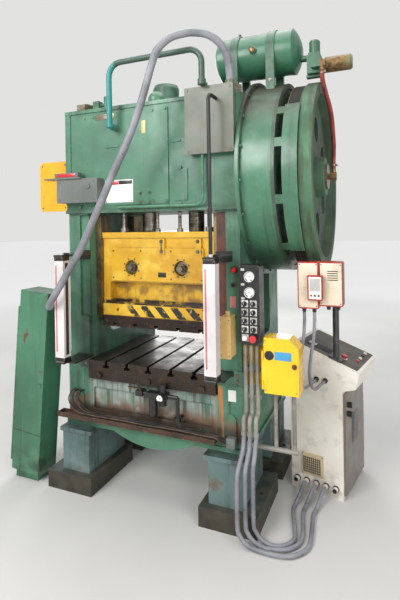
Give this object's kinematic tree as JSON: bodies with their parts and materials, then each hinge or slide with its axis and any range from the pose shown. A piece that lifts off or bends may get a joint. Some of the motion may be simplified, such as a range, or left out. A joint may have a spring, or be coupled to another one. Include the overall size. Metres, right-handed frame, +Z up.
{
  "type": "mechanical stamping press",
  "caption": "Straight-side mechanical stamping press with belt-driven flywheel, gibbed slide, T-slot bolster, air tank, light curtains, control boxes and console.",
  "frame": {"origin": "on the floor, midway between the four anchor holes in the base blocks", "axes": "+X towards the flywheel side, +Y from the operator to the back, +Z up"},
  "size_m": [2.2475, 1.7599, 2.857],
  "materials": {
    "machine_green": "aged enamel with oil streaks",
    "slide_yellow": "aged enamel, greasy",
    "dark_steel": "oily dark steel with brown rust",
    "machined_steel": "oiled ground steel",
    "brass_fittings": "dull brass",
    "belt_rubber": "matte",
    "red_rubber": "matte",
    "panel_grey": "worn grey enamel",
    "box_yellow": "gloss enamel",
    "curtain_white": "satin enamel",
    "black_metal": "satin black",
    "cream_paint": "satin enamel",
    "gauge_white": "gloss",
    "button_white": "gloss",
    "stop_red": "gloss",
    "black_plastic": "matte",
    "conduit_grey": "ribbed satin",
    "console_white": "satin enamel",
    "door_grey": "satin enamel",
    "monitor_red": "satin enamel"
  },
  "bodies": {
    "frame": {"feet": "machine_green", "bed": "machine_green", "upright_left": "machine_green", "upright_right": "machine_green", "crown": "machine_green", "tie_rods": "machine_green", "gibs": "machined_steel", "bolster": "dark_steel", "drum_housing": "machine_green", "rotary_union": "brass_fittings", "motor": "machine_green", "v_belts": "belt_rubber", "tank": "machine_green", "tank_straps": "machine_green", "clutch_valve": "machine_green", "red_hose": "red_rubber", "grey_panel": "panel_grey", "yellow_box": "box_yellow", "grey_box": "panel_grey", "curtains": "curtain_white", "curtain_brackets": "black_metal", "cream_box": "cream_paint", "panel": "black_metal", "panel_gauges": "gauge_white", "operator_box": "box_yellow", "air_filter": "black_metal", "drip_trough": "dark_steel", "conduits": "conduit_grey", "thick_conduit": "conduit_grey", "console_leads": "conduit_grey", "tall_cabinet": "machine_green", "console": "console_white", "monitor_boxes": "monitor_red"},
    "slide": {"slide": "slide_yellow", "slide_plate": "dark_steel", "plungers": "machined_steel"},
    "adjuster_left": {"adjuster_left": "machined_steel"},
    "adjuster_right": {"adjuster_right": "machined_steel"},
    "flywheel": {"flywheel": "machine_green", "drive_shaft": "machined_steel"},
    "motor_sheave": {"motor_sheave": "dark_steel"},
    "white_button": {"white_button": "button_white"},
    "stop_button": {"stop_button": "stop_red"},
    "operator_door": {"operator_door": "box_yellow"},
    "key_switch": {"key_switch": "brass_fittings"},
    "air_valve_lever": {"air_valve_lever": "brass_fittings"},
    "regulator_knob": {"regulator_knob": "black_plastic"},
    "tall_door": {"tall_door": "machine_green"},
    "console_door": {"console_door": "door_grey"},
    "latch_upper": {"latch_upper": "black_plastic"},
    "latch_lower": {"latch_lower": "black_plastic"},
    "console_switch": {"console_switch": "stop_red"},
    "selector_1": {"selector_1": "black_plastic"},
    "selector_2": {"selector_2": "black_plastic"},
    "selector_3": {"selector_3": "black_plastic"},
    "selector_4": {"selector_4": "black_plastic"},
    "selector_5": {"selector_5": "black_plastic"},
    "selector_6": {"selector_6": "black_plastic"},
    "selector_7": {"selector_7": "black_plastic"},
    "selector_8": {"selector_8": "black_plastic"}
  },
  "joints": [
    {"name": "slide_stroke", "type": "slide", "parent": "frame", "child": "slide", "axis": [0, 0, 1], "range_m": [-0.076, 0]},
    {"name": "adjuster_left_turn", "type": "hinge", "parent": "slide", "child": "adjuster_left", "pos_m": [-0.174, -0.335, 1.387], "axis": [0, 1, 0], "range_deg": [-170, 170]},
    {"name": "adjuster_right_turn", "type": "hinge", "parent": "slide", "child": "adjuster_right", "pos_m": [0.174, -0.335, 1.387], "axis": [0, 1, 0], "range_deg": [-170, 170]},
    {"name": "flywheel_turn", "type": "hinge", "parent": "frame", "child": "flywheel", "pos_m": [0.9, 0.1, 1.94], "axis": [1, 0, 0], "continuous": true},
    {"name": "motor_turn", "type": "hinge", "parent": "frame", "child": "motor_sheave", "pos_m": [0.87, 0.875, 1.94], "axis": [1, 0, 0], "continuous": true},
    {"name": "selector_1_turn", "type": "hinge", "parent": "frame", "child": "selector_1", "pos_m": [0.617, -0.47, 1.222], "axis": [0, 1, 0], "range_deg": [-45, 45]},
    {"name": "selector_2_turn", "type": "hinge", "parent": "frame", "child": "selector_2", "pos_m": [0.665, -0.47, 1.222], "axis": [0, 1, 0], "range_deg": [-45, 45]},
    {"name": "selector_3_turn", "type": "hinge", "parent": "frame", "child": "selector_3", "pos_m": [0.617, -0.47, 1.176], "axis": [0, 1, 0], "range_deg": [-45, 45]},
    {"name": "selector_4_turn", "type": "hinge", "parent": "frame", "child": "selector_4", "pos_m": [0.665, -0.47, 1.176], "axis": [0, 1, 0], "range_deg": [-45, 45]},
    {"name": "selector_5_turn", "type": "hinge", "parent": "frame", "child": "selector_5", "pos_m": [0.617, -0.47, 1.13], "axis": [0, 1, 0], "range_deg": [-45, 45]},
    {"name": "selector_6_turn", "type": "hinge", "parent": "frame", "child": "selector_6", "pos_m": [0.665, -0.47, 1.13], "axis": [0, 1, 0], "range_deg": [-45, 45]},
    {"name": "selector_7_turn", "type": "hinge", "parent": "frame", "child": "selector_7", "pos_m": [0.617, -0.47, 1.084], "axis": [0, 1, 0], "range_deg": [-45, 45]},
    {"name": "selector_8_turn", "type": "hinge", "parent": "frame", "child": "selector_8", "pos_m": [0.665, -0.47, 1.084], "axis": [0, 1, 0], "range_deg": [-45, 45]},
    {"name": "white_button_press", "type": "slide", "parent": "frame", "child": "white_button", "axis": [0, 1, 0], "range_m": [0, 0.004], "stiffness_N_per_m": 600},
    {"name": "stop_button_press", "type": "slide", "parent": "frame", "child": "stop_button", "axis": [0, 1, 0], "range_m": [0, 0.005], "stiffness_N_per_m": 600},
    {"name": "operator_door_swing", "type": "hinge", "parent": "frame", "child": "operator_door", "pos_m": [0.713, -0.482, 0.89], "axis": [0, 0, 1], "range_deg": [-110, 0]},
    {"name": "key_turn", "type": "hinge", "parent": "operator_door", "child": "key_switch", "pos_m": [0.884, -0.48, 0.912], "axis": [0, 1, 0], "range_deg": [0, 90]},
    {"name": "air_valve_turn", "type": "hinge", "parent": "frame", "child": "air_valve_lever", "pos_m": [-0.043, -0.472, 0.678], "axis": [0, 0, 1], "range_deg": [0, 90]},
    {"name": "regulator_turn", "type": "hinge", "parent": "frame", "child": "regulator_knob", "pos_m": [0.11, -0.472, 0.69], "axis": [0, 0, 1], "range_deg": [-170, 170]},
    {"name": "tall_door_swing", "type": "hinge", "parent": "frame", "child": "tall_door", "pos_m": [-0.99647, -0.547, 0.06061], "axis": [0.0872, 0, 0.9962], "range_deg": [-110, 0]},
    {"name": "console_door_swing", "type": "hinge", "parent": "frame", "child": "console_door", "pos_m": [1.15785, 0.37693, 0.33], "axis": [0, 0, 1], "range_deg": [0, 110]},
    {"name": "latch_upper_turn", "type": "hinge", "parent": "console_door", "child": "latch_upper", "pos_m": [1.09229, 0.02498, 0.56], "axis": [0.9816, -0.1908, 0], "range_deg": [0, 90]},
    {"name": "latch_lower_turn", "type": "hinge", "parent": "console_door", "child": "latch_lower", "pos_m": [1.09229, 0.02498, 0.505], "axis": [0.9816, -0.1908, 0], "range_deg": [0, 90]},
    {"name": "console_switch_turn", "type": "hinge", "parent": "frame", "child": "console_switch", "pos_m": [1.06939, 0.09055, 0.81805], "axis": [0.3174, -0.0617, 0.9463], "range_deg": [-60, 60]}
  ],
  "couplings": [
    {"joint": "motor_turn", "follows": "flywheel_turn", "ratio": 6.254}
  ]
}
